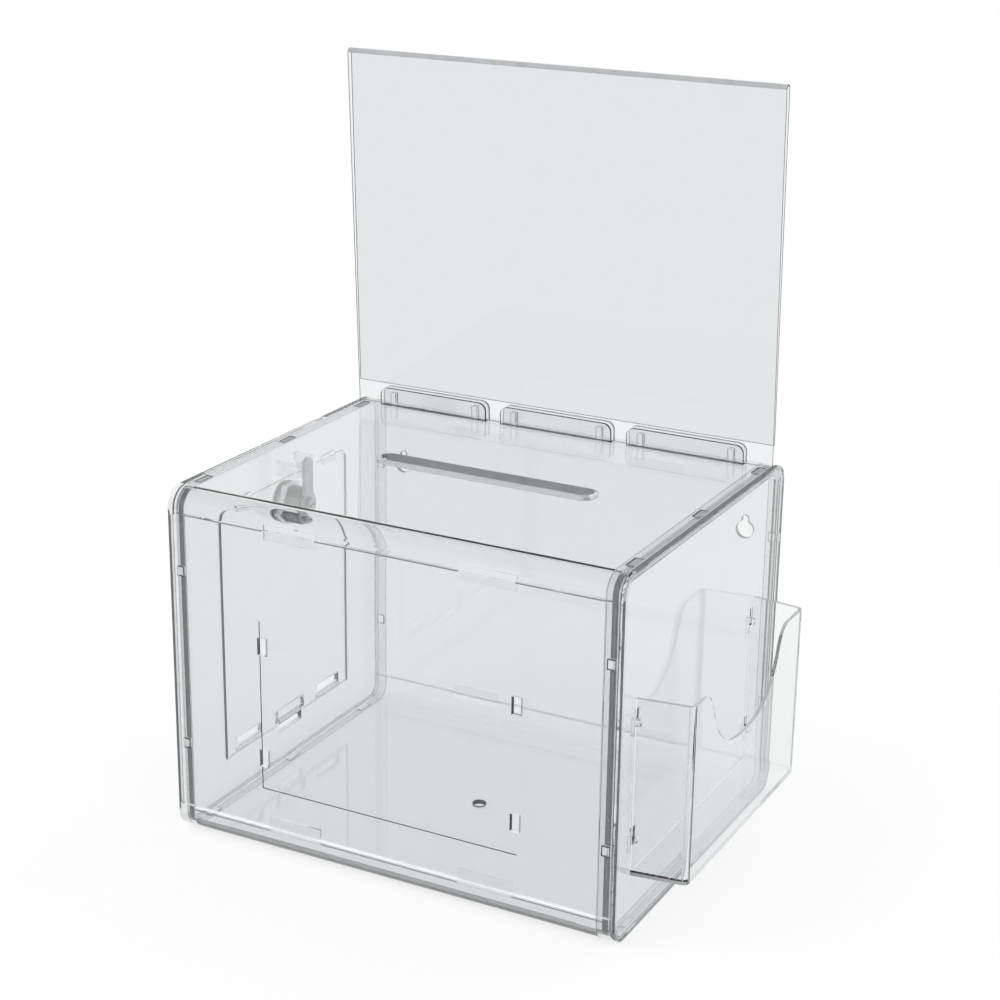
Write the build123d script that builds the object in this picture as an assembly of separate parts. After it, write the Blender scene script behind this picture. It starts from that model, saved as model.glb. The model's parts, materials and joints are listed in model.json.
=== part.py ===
from build123d import *
import os

# Case: overall size, wall, rounded long edges and the seams between its panels
case_side_margin = 1.3
case_depth = 224.0
case_height = 213.5
wall = 3.0
edge_radius = 12.0
top_lip_flat = 2.0
bottom_lip_flat = 4.5
seam_gap = 0.3
overrun = 20.0

# End caps: plate, rim round the panels, and the rib that holds the panel ends in a groove
cap_plate = 3.0
rim_depth = 11.0
rim_wall = 1.5
rim_gap = 0.1
groove_floor_gap = 0.5
rib_wall = 1.4
rib_depth = 7.0

# Snap nubs on the panel ends and the rim windows that they spring into
nub_height = 5.4
lid_nub_length = 11.4
nub_from_edge = 1.9
nub_from_plate = 1.7
nub_below_face = 0.2
nub_play = 0.3
nub_from_corner = 25.2
nub_from_low_seam = 40.7
nub_from_high_seam = 34.6

# Long shallow grooves with round ends in the front and back edges of the caps
edge_groove_width = 4.4
edge_groove_depth = 0.5
edge_groove_from_end = 1.3
edge_groove_from_seam = 0.6

# Tongues that reach behind the front and back panels from the rounded lips
tongue_width = 34.0
tongue_pitch = 124.0
tongue_reach = 6.0
tongue_root = 3.0
tongue_wall = 1.5
tongue_bite = 0.3

# Ballot slot with its collar
slot_length = 139.7
slot_width = 12.7
slot_centre_y = 1.5
collar_wall = 2.0
collar_depth = 5.0

# Header clips
clip_gap = 10.5
clip_end_margin = 7.6
clip_height = 11.8
clip_wall = 1.8
clip_corner = 5.0
clip_root = 1.0
clip_throat = 3.4
pad_width = 3.6
pad_below_top = 3.3
pad_from_end = 8.5

# Header: one sheet folded over at its top
header_width = 282.4
header_rise = 224.5
sheet_thick = 1.0
header_play = 0.1
header_seat = 0.3
header_from_back = 17.5
header_lean = 2.8
fold_gap = 3.2
flap_gap = 0.8
flap_over_clips = 1.7

# Keyholes for wall screws, and the screw hole in the bottom
keyhole_radius = 5.5
keyhole_neck = 4.4
keyhole_rise = 9.2
keyhole_from_end = 24.5
keyhole_from_top = 46.5
screw_hole_radius = 4.25

# Side pocket
pocket_from_front = 17.0
pocket_from_back = 39.0
pocket_taper = 4.0
pocket_depth = 32.0
pocket_height = 104.0
pocket_bottom = 37.0
pocket_wall = 2.0
pocket_floor = 2.5
pocket_corner = 4.0
pocket_stand_off = 0.2
scoop_width = 106.0
scoop_depth = 43.0
scoop_offset = -4.5
scoop_width_shares = (-0.56, -0.50, -0.43, -0.22, 0.0, 0.22, 0.43, 0.50, 0.56)
scoop_depth_shares = (0.0, 0.08, 0.42, 0.92, 1.0, 0.92, 0.42, 0.08, 0.0)

# Pocket hooks, the slots that take them, and the pocket's outline on the front panel
hook_slot_width = 5.8
hook_slot_height = 10.7
hook_from_side = 3.0
hook_from_bottom = 23.0
hook_from_top = 11.7
hook_width = 3.0
hook_arm = 4.0
hook_finger = 2.0
hook_entry_play = 0.5
outline_width = 0.5
outline_depth = 0.3
outline_margin = 1.5

# Access door in the left end cap, and the stops behind its top edge
door_width = 137.0
door_centre_y = 4.5
door_from_bottom = 26.4
door_from_top = 29.1
door_gap = 0.5
door_corner = 6.0
stop_width = 14.0
stop_overlap = 3.0
stop_wall = 1.6
stop_gap = 0.15
stop_from_edge = 22.0

# Door hinge: bars gripped by snap knuckles
knuckle_width = 26.0
knuckle_pitch = 45.0
knuckle_window = 8.0
knuckle_relief = 5.5
knuckle_side_play = 0.4
hinge_bar_radius = 1.0
hinge_running_gap = 0.06
knuckle_wall = 1.2
knuckle_web = 2.2
knuckle_mouth = 1.7
knuckle_mouth_angle = 45.0
ear_width = 3.0

# Cam lock: body, nut and washer
lock_below_door_top = 13.9
lock_radius = 9.5
lock_flat_cut = 1.5
lock_tail = 6.0
lock_hole_play = 0.15
bezel_lip = 2.0
bezel_thick = 2.0
bezel_chamfer = 0.6
washer_lip = 2.7
washer_thick = 0.8
nut_wall = 1.5
nut_thick = 4.5
nut_bore_play = 0.05

# Cam lock: plug, wafers and springs
plug_radius = 6.0
plug_running_gap = 0.05
plug_head_lip = 1.2
plug_head_depth = 1.6
plug_head_set_back = 0.3
tang_size = 7.0
tang_play = 0.1
keyway_width = 2.0
keyway_height = 7.6
keyway_past_wafers = 1.2
wafer_count = 4
wafer_pitch = 2.6
wafer_first = 1.8
wafer_thick = 0.9
wafer_width = 5.6
wafer_set_back = 0.15
wafer_play = 0.05
wafer_window_width = 2.6
wafer_window_height = 7.0
wafer_cut_shares = (0.30, 0.55, 0.40, 0.65)
wafer_groove_depth = 1.6
wafer_groove_margin = 0.4
wafer_ear_width = 1.5
wafer_ear_height = 1.2
spring_radius = 0.5
spring_wall = 0.2
spring_length = 2.6

# Cam lock: quarter turn stop, cam and its screw
stop_disc_inset = 0.9
stop_disc_thick = 1.0
stop_lug_width = 3.0
stop_lug_depth = 1.2
stop_lug_gap = 0.2
cam_thick = 2.0
cam_past_keeper = 1.5
cam_tip_radius = 4.6
cam_hub_radius = 7.6
cam_gap = 0.1
screw_radius = 1.9
screw_play = 0.1
screw_head_radius = 4.2
screw_head_height = 2.2
screw_bite = 4.3
screw_tip_gap = 1.0
screw_slot_width = 1.0
screw_slot_depth = 1.0

# Keeper that the cam turns in behind
keeper_width = 22.0
keeper_wall = 1.8
keeper_above_door = 4.6
keeper_height = 9.5
keeper_cam_gap = 0.5

# Places and sizes that follow from those above
case_width = header_width + 2 * case_side_margin
half_width = case_width / 2
half_depth = case_depth / 2
cap_inner = half_width - cap_plate
panel_end = half_width - rim_depth - seam_gap / 2
groove_end = cap_inner - groove_floor_gap
low_seam = edge_radius + bottom_lip_flat
high_seam = case_height - edge_radius - top_lip_flat
nub_width = rim_depth - cap_plate - nub_from_edge - nub_from_plate
nub_depths = (nub_below_face, rim_wall + 2 * rim_gap)
clip_count = 3
clip_width = (2 * (panel_end - clip_end_margin) - (clip_count - 1) * clip_gap) / clip_count
header_y = half_depth - header_from_back
pocket_width = case_depth - pocket_from_front - pocket_from_back
pocket_centre_y = (pocket_from_front - pocket_from_back) / 2
pocket_top = pocket_bottom + pocket_height
hook_pitch = pocket_width - 2 * hook_from_side
hook_drop = hook_slot_height - hook_arm - hook_entry_play
slot_centres_z = (pocket_bottom + hook_from_bottom, pocket_top - hook_from_top)
door_top = case_height - door_from_top
frame_edge = door_from_bottom - door_gap
hinge_x = -half_width + cap_plate / 2
hinge_z = door_from_bottom + cap_plate / 2
lock_height = door_top - lock_below_door_top
lock_reach = wafer_first + (wafer_count - 1) * wafer_pitch + wafer_thick + lock_tail
lock_rear = -half_width + lock_reach
cam_outer = lock_rear + stop_disc_thick + cam_gap
cam_inner = cam_outer + cam_thick
keeper_bottom = door_top + keeper_above_door
cam_length = keeper_bottom + keeper_height + cam_past_keeper - lock_height
through_left = (-half_width - overrun, -cap_inner + overrun)


def slab(x_span, y_span, z_span):
    spans = (x_span, y_span, z_span)
    centre = [(low + high) / 2 for low, high in spans]
    return Pos(*centre) * Box(*[high - low for low, high in spans])


def around(centre, width):
    return (centre - width / 2, centre + width / 2)


def rod_y(x, y_span, z, radius):
    base = Plane((x, y_span[0], z), x_dir=(0, 0, 1), z_dir=(0, 1, 0))
    return extrude(base * Circle(radius), y_span[1] - y_span[0])


def end_sketch(x, sketch, depth, y=0.0, z=0.0):
    base = Plane((x, y, z), x_dir=(0, 1, 0), z_dir=(1, 0, 0))
    return extrude(base * sketch, depth)


def both_ends(shape):
    return shape + mirror(shape, about=Plane.YZ)


def both_faces(shape):
    return shape + mirror(shape, about=Plane.XZ)


def case_prism(inset, x_span):
    outline = RectangleRounded(case_depth - 2 * inset, case_height - 2 * inset, edge_radius - inset)
    return end_sketch(x_span[0], outline, x_span[1] - x_span[0], z=case_height / 2)


def case_ring(outer_inset, inner_inset, x_span):
    return case_prism(outer_inset, x_span) - case_prism(inner_inset, x_span)


def nub_x_span(growth):
    start = half_width - rim_depth + nub_from_edge
    return (start - growth, start + nub_width + growth)


def nubs_across(face_z, inward, depth_span, growth=0.0):
    shapes = []
    for step in (-1, 0, 1):
        y_span = around(step * (half_depth - nub_from_corner), lid_nub_length + 2 * growth)
        z_pair = sorted(face_z + inward * depth for depth in depth_span)
        shapes.append(slab(nub_x_span(growth), y_span, z_pair))
    return both_ends(Part() + shapes)


def nubs_up(depth_span, growth=0.0):
    shapes = []
    for centre_z in (low_seam + nub_from_low_seam, high_seam - nub_from_high_seam):
        y_span = [-half_depth + depth for depth in depth_span]
        z_span = around(centre_z, nub_height + 2 * growth)
        shapes.append(slab(nub_x_span(growth), y_span, z_span))
    return both_ends(Part() + shapes)


def panel_shell(z_span, y_span):
    shell = case_ring(0, wall, (-panel_end, panel_end))
    shell += case_ring(rim_wall + rim_gap, wall, (-groove_end, groove_end))
    return shell & slab((-case_width, case_width), y_span, z_span)


def lip_tongues(seam, reach_sign):
    inner = -half_depth + wall
    shapes = []
    for side in (-1, 1):
        x_span = around(side * tongue_pitch / 2, tongue_width)
        ends = sorted((seam + reach_sign * tongue_reach, seam - reach_sign * tongue_root))
        shapes.append(slab(x_span, (inner + rim_gap, inner + tongue_wall), ends))
        root = sorted((seam - reach_sign * seam_gap, seam - reach_sign * tongue_root))
        shapes.append(slab(x_span, (inner - tongue_bite, inner + tongue_wall), root))
    return both_faces(Part() + shapes)


def stadium_z(length, width, z_span, y):
    return Pos(0, y, z_span[0]) * extrude(SlotOverall(length, width), z_span[1] - z_span[0])


def clip_frame():
    return Pos(0, header_y, case_height) * Rot(header_lean, 0, 0)


def clip_plate(width, height, y_span):
    face = RectangleRounded(width, height + 2 * clip_corner, clip_corner)
    base = Plane((0, y_span[1], height / 2 - clip_corner), x_dir=(1, 0, 0), z_dir=(0, -1, 0))
    plate = extrude(base * face, y_span[1] - y_span[0])
    return plate & slab((-width, width), y_span, (-clip_root, height))


def header_clip(centre_x):
    inner = clip_throat / 2
    outer = inner + clip_wall
    clip = clip_plate(clip_width, clip_height, (-outer, -inner))
    clip += clip_plate(clip_width, clip_height, (inner, outer))
    for side in (-1, 1):
        x_span = around(side * (clip_width / 2 - pad_from_end), pad_width)
        for inner_y in (-1, 1):
            near = inner_y * (sheet_thick / 2 + header_play)
            y_span = sorted((near, inner_y * (inner + clip_root)))
            clip += slab(x_span, y_span, (-clip_root, clip_height - pad_below_top))
    return clip_frame() * (Pos(centre_x, 0, 0) * clip)


def top_panel():
    panel = panel_shell((high_seam + seam_gap / 2, case_height), (-half_depth, half_depth))
    panel += lip_tongues(high_seam, -1)
    panel += nubs_across(case_height, -1, nub_depths)
    collar_span = (case_height - collar_depth, case_height)
    collar_size = (slot_length + 2 * collar_wall, slot_width + 2 * collar_wall)
    panel += stadium_z(*collar_size, collar_span, slot_centre_y)
    past_collar = (case_height - collar_depth - overrun, case_height + overrun)
    panel -= stadium_z(slot_length, slot_width, past_collar, slot_centre_y)
    for step in (-1, 0, 1):
        panel += header_clip(step * (clip_width + clip_gap))
    return panel


def bottom_panel():
    panel = panel_shell((0, low_seam - seam_gap / 2), (-half_depth, half_depth))
    panel += lip_tongues(low_seam, 1)
    panel += nubs_across(0, 1, nub_depths)
    hole = Cylinder(screw_hole_radius, overrun)
    return panel - hole


def hook_slots_x(x_span):
    shapes = []
    for side in (-1, 1):
        y_span = around(pocket_centre_y + side * hook_pitch / 2, hook_slot_width)
        for z in slot_centres_z:
            shapes.append(slab(x_span, y_span, around(z, hook_slot_height)))
    return Part() + shapes


def hook_slots_y(y_span):
    shapes = []
    for side in (-1, 1):
        x_span = around(side * hook_pitch / 2, hook_slot_width)
        for z in slot_centres_z:
            shapes.append(slab(x_span, y_span, around(z, hook_slot_height)))
    return Part() + shapes


def pocket_outline():
    left = -hook_pitch / 2 - outline_margin
    right = hook_pitch / 2 + outline_margin
    low = pocket_bottom + pocket_floor + outline_margin
    y_span = (-half_depth - overrun, -half_depth + outline_depth)
    upright = slab((left, left + outline_width), y_span, (low, low + pocket_height))
    return upright + slab((left, right), y_span, (low, low + outline_width))


def wall_panel():
    z_span = (low_seam + seam_gap / 2, high_seam - seam_gap / 2)
    panel = panel_shell(z_span, (-half_depth, 0))
    return panel + nubs_up(nub_depths)


def front_panel():
    through = (-half_depth - overrun, -half_depth + overrun)
    return wall_panel() - hook_slots_y(through) - pocket_outline()


def keyhole(centre_x):
    height = case_height - keyhole_from_top
    middle = Plane((centre_x, half_depth + overrun, height), x_dir=(1, 0, 0), z_dir=(0, -1, 0))
    circle = Circle(keyhole_radius)
    neck_rise = keyhole_rise - keyhole_neck / 2
    neck = Pos(0, neck_rise / 2) * Rectangle(keyhole_neck, neck_rise)
    tip = Pos(0, neck_rise) * Circle(keyhole_neck / 2)
    return extrude(middle * (circle + neck + tip), 2 * overrun)


def back_panel():
    panel = mirror(wall_panel(), about=Plane.XZ)
    for side in (-1, 1):
        panel -= keyhole(side * (half_width - keyhole_from_end))
    return panel


def edge_grooves():
    length = high_seam - low_seam - 2 * edge_groove_from_seam
    outline = SlotOverall(length, edge_groove_width, rotation=90)
    centre = (half_width - edge_groove_from_end - edge_groove_width / 2, (low_seam + high_seam) / 2)
    floor = Plane((centre[0], -half_depth + edge_groove_depth, centre[1]), x_dir=(1, 0, 0), z_dir=(0, -1, 0))
    return both_faces(extrude(floor * outline, overrun))


def end_cap():
    cap = case_prism(0, (cap_inner, half_width))
    cap += case_ring(0, rim_wall, (half_width - rim_depth, cap_inner))
    rib_inset = wall + rim_gap
    cap += case_ring(rib_inset, rib_inset + rib_wall, (half_width - rib_depth, cap_inner))
    window = (-overrun, rim_wall + rim_gap / 2)
    windows = nubs_across(case_height, -1, window, nub_play) + nubs_across(0, 1, window, nub_play)
    windows += both_faces(nubs_up(window, nub_play))
    return cap - windows - edge_grooves()


def right_end_cap():
    return end_cap() - hook_slots_x((half_width - overrun, half_width + overrun))


def door_sketch(growth):
    width = door_width + 2 * growth
    height = door_top - door_from_bottom + 2 * growth
    face = RectangleRounded(width, height, door_corner + growth)
    lower = Pos(0, -height / 4) * Rectangle(width, height / 2)
    return face + lower


def door_block(growth, x_span):
    middle = (door_from_bottom + door_top) / 2
    return end_sketch(x_span[0], door_sketch(growth), x_span[1] - x_span[0], door_centre_y, middle)


def knuckle_ring(centre_y):
    y_span = around(centre_y, knuckle_width - 2 * knuckle_side_play)
    outer = hinge_bar_radius + hinge_running_gap + knuckle_wall
    return rod_y(hinge_x, y_span, hinge_z, outer), outer, y_span


def knuckle(centre_y, web_end):
    ring, outer, y_span = knuckle_ring(centre_y)
    web_z = sorted((hinge_z, web_end))
    shape = ring + slab(around(hinge_x, knuckle_web), y_span, web_z)
    past = (y_span[0] - overrun, y_span[1] + overrun)
    shape -= rod_y(hinge_x, past, hinge_z, hinge_bar_radius + hinge_running_gap)
    mouth = Box(2 * outer, 2 * overrun + knuckle_width, knuckle_mouth)
    turn = -knuckle_mouth_angle if web_end < hinge_z else knuckle_mouth_angle
    turned = Pos(hinge_x, centre_y, hinge_z) * Rot(0, turn, 0) * Pos(outer, 0, 0) * mouth
    return shape - turned


def frame_knuckle_centres():
    return (door_centre_y - knuckle_pitch, door_centre_y + knuckle_pitch)


def hinge_ears(centre_y):
    shapes = []
    for side in (-1, 1):
        y = centre_y + side * (knuckle_width + ear_width) / 2
        y_span = around(y, ear_width)
        shapes.append(rod_y(hinge_x, y_span, hinge_z, cap_plate / 2))
        shapes.append(slab((-half_width, -cap_inner), y_span, (frame_edge - clip_root, hinge_z)))
    return Part() + shapes


def keeper():
    x_face = cam_outer - keeper_cam_gap
    z_span = (keeper_bottom, keeper_bottom + keeper_height)
    y_span = around(door_centre_y, keeper_width)
    block = slab((-cap_inner - cap_plate / 2, x_face), y_span, z_span)
    hollow_y = around(door_centre_y, keeper_width - 2 * keeper_wall)
    return block - slab((-cap_inner, x_face - keeper_wall), hollow_y, z_span)


def door_stops():
    x_span = (-cap_inner + stop_gap, -cap_inner + stop_gap + stop_wall)
    root_x = (-cap_inner - cap_plate / 2, -cap_inner + stop_gap + stop_wall)
    shapes = []
    for side in (-1, 1):
        y = door_centre_y + side * (door_width / 2 - stop_from_edge)
        y_span = around(y, stop_width)
        shapes.append(slab(x_span, y_span, (door_top - stop_overlap, door_top + stop_overlap)))
        shapes.append(slab(root_x, y_span, (door_top + door_gap, door_top + stop_overlap)))
    return Part() + shapes


def left_end_cap():
    cap = mirror(end_cap(), about=Plane.YZ)
    cap -= door_block(door_gap, through_left)
    relief = (frame_edge - knuckle_relief, hinge_z)
    cap -= slab(through_left, around(door_centre_y, knuckle_width), relief)
    cap += hinge_ears(door_centre_y)
    bar_span = around(door_centre_y, knuckle_width + ear_width)
    cap += rod_y(hinge_x, bar_span, hinge_z, hinge_bar_radius)
    for centre in frame_knuckle_centres():
        cap += knuckle(centre, frame_edge - clip_root)
    return cap + door_stops() + keeper()


def lock_outline(play):
    circle = Circle(lock_radius + play)
    across_flats = 2 * (lock_radius - lock_flat_cut)
    return circle & Rectangle(across_flats + 2 * play, 2 * (lock_radius + play))


def at_lock(x, sketch, depth):
    return end_sketch(x, sketch, depth, door_centre_y, lock_height)


def access_door():
    door = door_block(0, (-half_width, -cap_inner))
    full = around(door_centre_y, door_width)
    door -= slab(through_left, full, (door_from_bottom, hinge_z))
    door += rod_y(hinge_x, full, hinge_z, cap_plate / 2)
    window_top = hinge_z + knuckle_window
    for centre in frame_knuckle_centres():
        span = around(centre, knuckle_width)
        door -= slab(through_left, span, (0, window_top))
        door += rod_y(hinge_x, (span[0] - ear_width, span[1] + ear_width), hinge_z, hinge_bar_radius)
    relief = knuckle_width + 2 * ear_width + 2 * knuckle_side_play
    door -= slab(through_left, around(door_centre_y, relief), (0, window_top))
    door += knuckle(door_centre_y, window_top + clip_root)
    hole = at_lock(-half_width - overrun, lock_outline(lock_hole_play), 2 * overrun)
    return door - hole


def lock_body():
    face_x = -half_width - bezel_thick
    bezel = at_lock(face_x, Circle(lock_radius + bezel_lip), bezel_thick)
    front_rim = bezel.edges().filter_by(GeomType.CIRCLE).sort_by(Axis.X)[0]
    bezel = chamfer(front_rim, bezel_chamfer)
    body = bezel + at_lock(-half_width, lock_outline(0), lock_reach)
    bore = plug_radius + plug_running_gap
    body -= at_lock(face_x - overrun, Circle(bore), 2 * overrun + lock_reach)
    head_room = plug_head_depth + plug_head_set_back + plug_running_gap
    head_radius = plug_radius + plug_head_lip + plug_running_gap
    body -= at_lock(face_x, Circle(head_radius), head_room)
    groove_height = 2 * (plug_radius + wafer_groove_depth)
    groove = Rectangle(wafer_width + 2 * plug_running_gap, groove_height)
    start = wafer_x(0) - wafer_groove_margin
    end = wafer_x(wafer_count - 1) + wafer_thick + wafer_groove_margin
    body -= at_lock(start, groove, end - start)
    return body - stop_recess()


def stop_recess():
    play = stop_lug_gap
    start = lock_rear - stop_lug_depth - play
    ring = Circle(lock_radius + overrun) - Circle(plug_radius + plug_running_gap)
    quarter = ring & (Pos(overrun, overrun) * Rectangle(2 * overrun, 2 * overrun))
    lead_in = stop_lug_width / 2 + play
    sector = quarter + (ring & (Pos(0, overrun) * Rectangle(2 * lead_in, 2 * overrun)))
    sector += ring & (Pos(overrun, 0) * Rectangle(2 * overrun, 2 * lead_in))
    return at_lock(start, sector, stop_lug_depth + play + overrun)


def lock_washer():
    ring = Circle(lock_radius + washer_lip) - lock_outline(lock_hole_play)
    return at_lock(-cap_inner, ring, washer_thick)


def lock_nut():
    hexagon = RegularPolygon(lock_radius + nut_wall, 6, major_radius=False)
    bore = lock_outline(nut_bore_play)
    return at_lock(-cap_inner + washer_thick, hexagon - bore, nut_thick)


def wafer_x(index):
    return -half_width + wafer_first + index * wafer_pitch


def wafer_height():
    return 2 * (plug_radius - wafer_set_back)


def wafer_offset():
    return (wafer_width - wafer_ear_width) / 2


def screw_bore_end():
    return lock_rear - screw_bite


def lock_plug():
    face_x = -half_width - bezel_thick + plug_head_set_back
    plug = at_lock(face_x, Circle(plug_radius + plug_head_lip), plug_head_depth)
    plug += at_lock(face_x, Circle(plug_radius), lock_rear - face_x)
    plug += at_lock(face_x, Rectangle(tang_size, tang_size), cam_inner - face_x)
    keyway_end = wafer_x(wafer_count - 1) + wafer_thick + keyway_past_wafers
    plug -= at_lock(face_x, Rectangle(keyway_width, keyway_height), keyway_end - face_x)
    slot = Rectangle(wafer_width + 2 * wafer_play, 2 * plug_radius)
    for index in range(wafer_count):
        plug -= at_lock(wafer_x(index) - wafer_play, slot, wafer_thick + 2 * wafer_play)
    return plug - at_lock(screw_bore_end(), Circle(screw_radius + screw_play), overrun)


def lock_wafer(index):
    height = wafer_height()
    plate = Rectangle(wafer_width, height) & Circle(plug_radius - wafer_set_back)
    shift = (wafer_cut_shares[index] - 1 / 2) * (height - wafer_window_height) / 2
    window = Pos(0, shift) * Rectangle(wafer_window_width, wafer_window_height)
    notch_y = -height / 2 + wafer_ear_height + spring_length
    notch = Pos(-wafer_offset(), -notch_y) * Rectangle(wafer_ear_width, spring_length * 2)
    return at_lock(wafer_x(index), plate - window - notch, wafer_thick)


def wafer_springs():
    springs = []
    ring = Circle(spring_radius) - Circle(spring_radius - spring_wall)
    top = lock_height + wafer_height() / 2 - wafer_ear_height
    for index in range(wafer_count):
        x = wafer_x(index) + wafer_thick / 2
        foot = Pos(x, door_centre_y - wafer_offset(), top - spring_length)
        springs.append(foot * extrude(ring, spring_length))
    return Part() + springs


def stop_disc():
    outline = Circle(lock_radius - stop_disc_inset)
    disc = at_lock(lock_rear, outline, stop_disc_thick)
    reach = (plug_radius + stop_lug_gap, lock_radius - stop_disc_inset)
    lug_y = around(door_centre_y, stop_lug_width)
    lug_z = [lock_height + radius for radius in reach]
    disc += slab((lock_rear - stop_lug_depth, lock_rear + stop_disc_thick), lug_y, lug_z)
    disc &= at_lock(lock_rear - stop_lug_depth, outline, stop_lug_depth + stop_disc_thick)
    opening = Rectangle(tang_size + 2 * tang_play, tang_size + 2 * tang_play)
    return disc - at_lock(lock_rear, opening, stop_disc_thick)


def lock_cam():
    arm_length = cam_length - cam_tip_radius
    arm = Pos(0, arm_length / 2) * Rectangle(2 * cam_tip_radius, arm_length)
    outline = Circle(cam_hub_radius) + arm + Pos(0, arm_length) * Circle(cam_tip_radius)
    opening = Rectangle(tang_size + 2 * tang_play, tang_size + 2 * tang_play)
    return at_lock(cam_outer, outline - opening, cam_thick)


def cam_screw():
    screw = at_lock(cam_inner, Circle(screw_head_radius), screw_head_height)
    tip = screw_bore_end() + screw_tip_gap
    screw += at_lock(tip, Circle(screw_radius), cam_inner - tip)
    slot = Rectangle(2 * screw_head_radius, screw_slot_width)
    return screw - at_lock(cam_inner + screw_head_height - screw_slot_depth, slot, screw_slot_depth)


def header_sheet():
    front = -sheet_thick / 2
    inner_radius = fold_gap / 2
    outer_radius = inner_radius + sheet_thick
    fold_y = sheet_thick / 2 + inner_radius
    fold_z = header_rise - outer_radius
    flap_low = clip_height + flap_over_clips
    start = sheet_thick / 2
    profile = Polyline(
        (front, header_seat), (start, header_seat), (start, fold_z), (front, fold_z), close=True)
    flap = Polyline(
        (start + fold_gap, fold_z),
        (start + fold_gap + sheet_thick, fold_z),
        (start + flap_gap + sheet_thick, flap_low),
        (start + flap_gap, flap_low),
        close=True,
    )
    ring = Circle(outer_radius) - Circle(inner_radius)
    upper_half = Pos(0, outer_radius) * Rectangle(4 * outer_radius, 2 * outer_radius)
    arch = Pos(fold_y, fold_z) * (ring & upper_half)
    sketch = make_face(profile) + make_face(flap) + arch
    sheet = end_sketch(-header_width / 2, sketch, header_width)
    return clip_frame() * sheet


def pocket_plan(inset):
    x_back = half_width + pocket_stand_off
    x_front = half_width + pocket_depth - inset
    back = pocket_width / 2 - inset
    front = back - pocket_taper
    line = Polyline((x_back, -back), (x_front, -front), (x_front, front), (x_back, back), close=True)
    return Pos(0, pocket_centre_y) * make_face(line)


def pocket_prism(inset, z_span, corner):
    prism = Pos(0, 0, z_span[0]) * extrude(pocket_plan(inset), z_span[1] - z_span[0])
    upright = prism.edges().filter_by(Axis.Z).sort_by(Axis.X)[-2:]
    return fillet(upright, corner)


def scoop():
    centre_y = pocket_centre_y + scoop_offset
    pairs = zip(scoop_width_shares, scoop_depth_shares)
    points = [(centre_y + w * scoop_width, pocket_top - d * scoop_depth) for w, d in pairs]
    curve = Spline(*points)
    above = pocket_top + overrun
    lid = Polyline(points[-1], (points[-1][0], above), (points[0][0], above), points[0])
    face = make_face([curve, *lid.edges()])
    return end_sketch(half_width + pocket_depth / 2, face, pocket_depth)


def pocket_hook(centre_y, slot_z):
    seat = slot_z - hook_slot_height / 2
    inside = half_width - cap_plate - pocket_stand_off
    y_span = around(centre_y, hook_width)
    arm_x = (inside - hook_finger, half_width + pocket_stand_off + pocket_wall)
    arm = slab(arm_x, y_span, (seat, seat + hook_arm))
    finger = slab((inside - hook_finger, inside), y_span, (seat - hook_drop, seat + hook_arm))
    return arm + finger


def side_pocket():
    pocket = pocket_prism(0, (pocket_bottom, pocket_top), pocket_corner)
    room = (pocket_bottom + pocket_floor, pocket_top + overrun)
    pocket -= pocket_prism(pocket_wall, room, pocket_corner - pocket_wall)
    pocket -= scoop()
    for side in (-1, 1):
        hook_y = pocket_centre_y + side * hook_pitch / 2
        for z in slot_centres_z:
            pocket += pocket_hook(hook_y, z)
    return pocket


def build():
    nodes = {
        "top_panel": top_panel(),
        "bottom_panel": bottom_panel(),
        "front_panel": front_panel(),
        "back_panel": back_panel(),
        "left_end_cap": left_end_cap(),
        "right_end_cap": right_end_cap(),
        "access_door": access_door(),
        "lock_body": lock_body(),
        "lock_plug": lock_plug(),
        "wafer_springs": wafer_springs(),
        "lock_washer": lock_washer(),
        "lock_nut": lock_nut(),
        "lock_stop_disc": stop_disc(),
        "lock_cam": lock_cam(),
        "cam_screw": cam_screw(),
        "header_sheet": header_sheet(),
        "side_pocket": side_pocket(),
    }
    for index in range(wafer_count):
        nodes[f"lock_wafer_{index + 1}"] = lock_wafer(index)
    return nodes


os.makedirs("parts", exist_ok=True)
for name, shape in build().items():
    export_step(shape, f"parts/{name}.step")
    print(name, len(shape.solids()), round(shape.volume, 1))
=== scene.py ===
import bmesh
import bpy
import json
import math
from mathutils import Matrix, Vector


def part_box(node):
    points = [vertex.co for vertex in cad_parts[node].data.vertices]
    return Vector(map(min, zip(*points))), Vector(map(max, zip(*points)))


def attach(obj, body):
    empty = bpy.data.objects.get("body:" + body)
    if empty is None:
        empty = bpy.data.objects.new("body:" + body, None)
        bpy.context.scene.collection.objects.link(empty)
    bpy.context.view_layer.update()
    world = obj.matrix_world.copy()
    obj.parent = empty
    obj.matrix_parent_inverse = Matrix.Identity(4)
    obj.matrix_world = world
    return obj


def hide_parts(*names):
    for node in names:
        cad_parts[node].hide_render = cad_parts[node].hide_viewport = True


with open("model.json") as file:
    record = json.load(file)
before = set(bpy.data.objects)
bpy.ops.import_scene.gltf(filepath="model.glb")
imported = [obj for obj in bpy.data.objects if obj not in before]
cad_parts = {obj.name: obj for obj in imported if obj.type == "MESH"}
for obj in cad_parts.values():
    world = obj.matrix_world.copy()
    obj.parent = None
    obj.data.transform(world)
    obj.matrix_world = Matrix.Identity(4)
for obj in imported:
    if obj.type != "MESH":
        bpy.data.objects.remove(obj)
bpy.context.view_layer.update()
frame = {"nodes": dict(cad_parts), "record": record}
nodes = frame["nodes"]
record = frame["record"]
bodyOf = {node: body for body, members in record["behaviour"]["bodies"].items() for node in members}
slotOf = {entry["node"]: entry["material_slot"] for entry in record["subparts"]}
scene = bpy.context.scene
print("frame loaded:", len(nodes), "nodes")


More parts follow.
